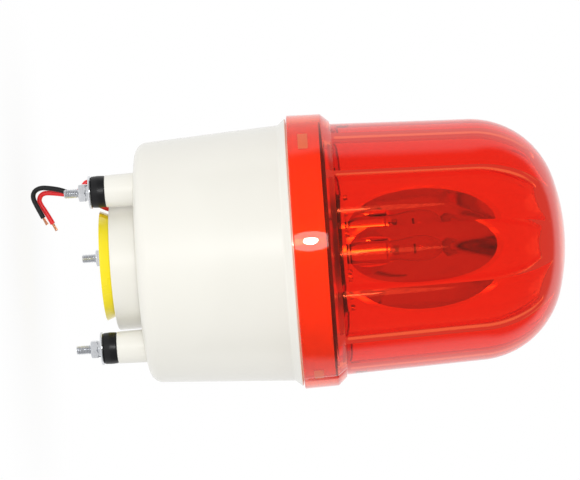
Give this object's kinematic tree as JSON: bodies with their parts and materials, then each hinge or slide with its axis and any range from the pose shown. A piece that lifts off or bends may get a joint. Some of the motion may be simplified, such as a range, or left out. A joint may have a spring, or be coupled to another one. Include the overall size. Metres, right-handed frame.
{
  "type": "rotating beacon",
  "caption": "Rotating warning beacon: red fluted lens dome twists onto a pale cup; a motor turns a reflector round a fixed lamp; studs with rubber bushes, yellow sounder cap and two leads.",
  "frame": {"origin": "centre of the stud circle in the mounting plane, at the free faces of the rubber bushes", "axes": "+Z along the beacon's axis to the dome's tip; +Y through one of the three studs; the reflector faces -Y at rest"},
  "size_m": [0.1178, 0.1178, 0.2277],
  "materials": {
    "red_lens": "clear red moulding, glossy",
    "cup_plastic": "off-white moulded plastic",
    "gasket_rubber": "soft black rubber",
    "bush_rubber": "black rubber, slightly glossy",
    "plug_rubber": "black rubber",
    "zinc": "bright zinc plated steel",
    "plate_steel": "zinc plated sheet",
    "black_moulding": "black moulded plastic",
    "pinion_plastic": "natural acetal",
    "shaft_steel": "ground steel",
    "gearbox_plastic": "black moulded case",
    "motor_steel": "drawn steel can",
    "pillar_plastic": "dark moulded plastic",
    "socket_metal": "nickel plated, bright",
    "insulator": "pale insulating moulding",
    "contact_brass": "brass",
    "spring_steel": "spring wire",
    "cap_metal": "nickel plated brass cap",
    "clear_glass": "clear blown glass",
    "filament_wire": "tungsten wire",
    "mirror_finish": "vacuum metallised, mirror bright",
    "board_laminate": "green laminate",
    "terminal_plastic": "green terminal block",
    "component_black": "black component bodies",
    "yellow_cap": "glossy yellow moulding",
    "sounder_black": "black moulding",
    "disc_brass": "thin brass disc",
    "red_insulation": "red PVC insulation",
    "black_insulation": "black PVC insulation",
    "tail_insulation": "PVC insulation",
    "copper": "bare copper strands"
  },
  "bodies": {
    "base": {"housing": "cup_plastic", "dome_gasket": "gasket_rubber", "chassis_plate": "plate_steel", "chassis_screws": "zinc", "gearbox_screws": "zinc", "lamp_pillar": "pillar_plastic", "turntable_clip": "plate_steel", "lamp_socket": "socket_metal", "socket_insulator": "insulator", "contact_spring": "spring_steel", "gearbox": "gearbox_plastic", "motor_can": "motor_steel", "motor_end_cap": "gearbox_plastic", "circuit_board": "board_laminate", "board_screws": "zinc", "terminal_block": "terminal_plastic", "board_components": "component_black", "sounder_cap": "yellow_cap", "sounder_nut": "sounder_black", "sounder_capsule": "sounder_black", "sounder_disc": "disc_brass", "mounting_studs": "zinc", "rubber_bushes": "bush_rubber", "flat_washers": "zinc", "spring_washers": "zinc", "hex_nuts": "zinc", "sealing_plug": "plug_rubber", "red_lead": "red_insulation", "black_lead": "black_insulation", "lead_strands": "copper", "lead_tails": "tail_insulation"},
    "dome": {"dome_lens": "red_lens"},
    "turntable": {"turntable": "black_moulding", "reflector": "mirror_finish", "reflector_screws": "zinc"},
    "pinion": {"drive_pinion": "pinion_plastic", "gearbox_shaft": "shaft_steel"},
    "lamp": {"lamp_cap": "cap_metal", "lamp_contact": "contact_brass", "bulb_glass": "clear_glass", "filament": "filament_wire", "filament_supports": "clear_glass"},
    "contact": {"contact_plunger": "contact_brass"}
  },
  "joints": [
    {"name": "dome_twist", "type": "hinge", "parent": "base", "child": "dome", "pos_m": [0, 0, 0.0835], "axis": [0, 0, 1], "range_deg": [0, 20]},
    {"name": "turntable_spin", "type": "hinge", "parent": "base", "child": "turntable", "pos_m": [0, 0, 0.0975], "axis": [0, 0, 1], "continuous": true},
    {"name": "pinion_spin", "type": "hinge", "parent": "base", "child": "pinion", "pos_m": [0, 0.035, 0.0975], "axis": [0, 0, 1], "continuous": true},
    {"name": "lamp_push", "type": "slide", "parent": "base", "child": "lamp", "axis": [0, 0, 1], "range_m": [-0.0015, 0], "stiffness_N_per_m": 2000, "springref_m": 0.002},
    {"name": "contact_push", "type": "slide", "parent": "base", "child": "contact", "axis": [0, 0, 1], "range_m": [-0.0015, 0], "deforming": ["contact_spring"]}
  ],
  "couplings": [
    {"joint": "pinion_spin", "follows": "turntable_spin", "ratio": -2.8889},
    {"joint": "contact_push", "follows": "lamp_push", "ratio": 1}
  ]
}
